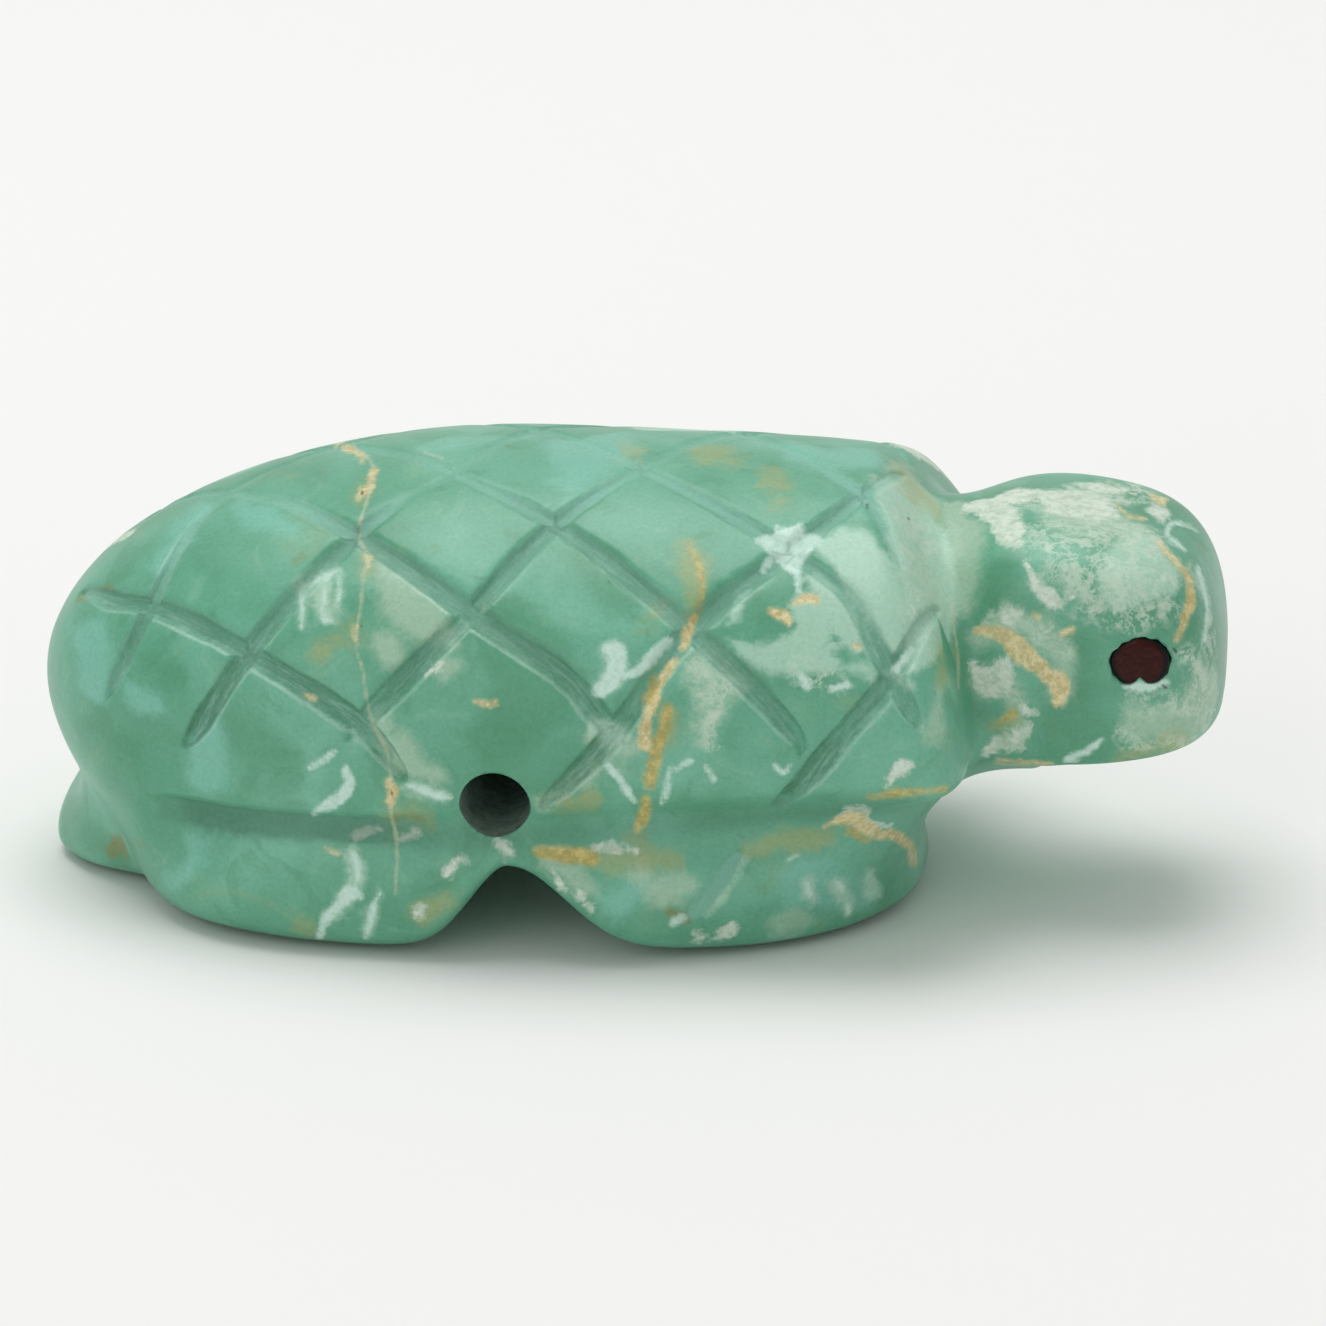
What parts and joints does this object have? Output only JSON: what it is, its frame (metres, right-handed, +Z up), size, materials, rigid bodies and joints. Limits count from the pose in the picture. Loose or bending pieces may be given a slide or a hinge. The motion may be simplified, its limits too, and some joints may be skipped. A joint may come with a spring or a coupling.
{
  "type": "stone animal carving",
  "caption": "Small polished turquoise turtle carving with a cross-hatched shell, inlaid eyes and a hole drilled across it for a cord.",
  "frame": {"origin": "middle of the carving's footprint on the plane that its soles rest on", "axes": "+X the way the turtle looks, +Y its left side, +Z up"},
  "size_m": [0.0321, 0.0158, 0.012],
  "materials": {
    "turquoise_stone": "polished, pale to deep green with cream and ochre matrix",
    "eye_inlay": "polished, dark red-brown"
  },
  "bodies": {
    "root": {"turtle_body": "turquoise_stone", "eye_inlay_right": "eye_inlay", "eye_inlay_left": "eye_inlay"}
  },
  "joints": []
}
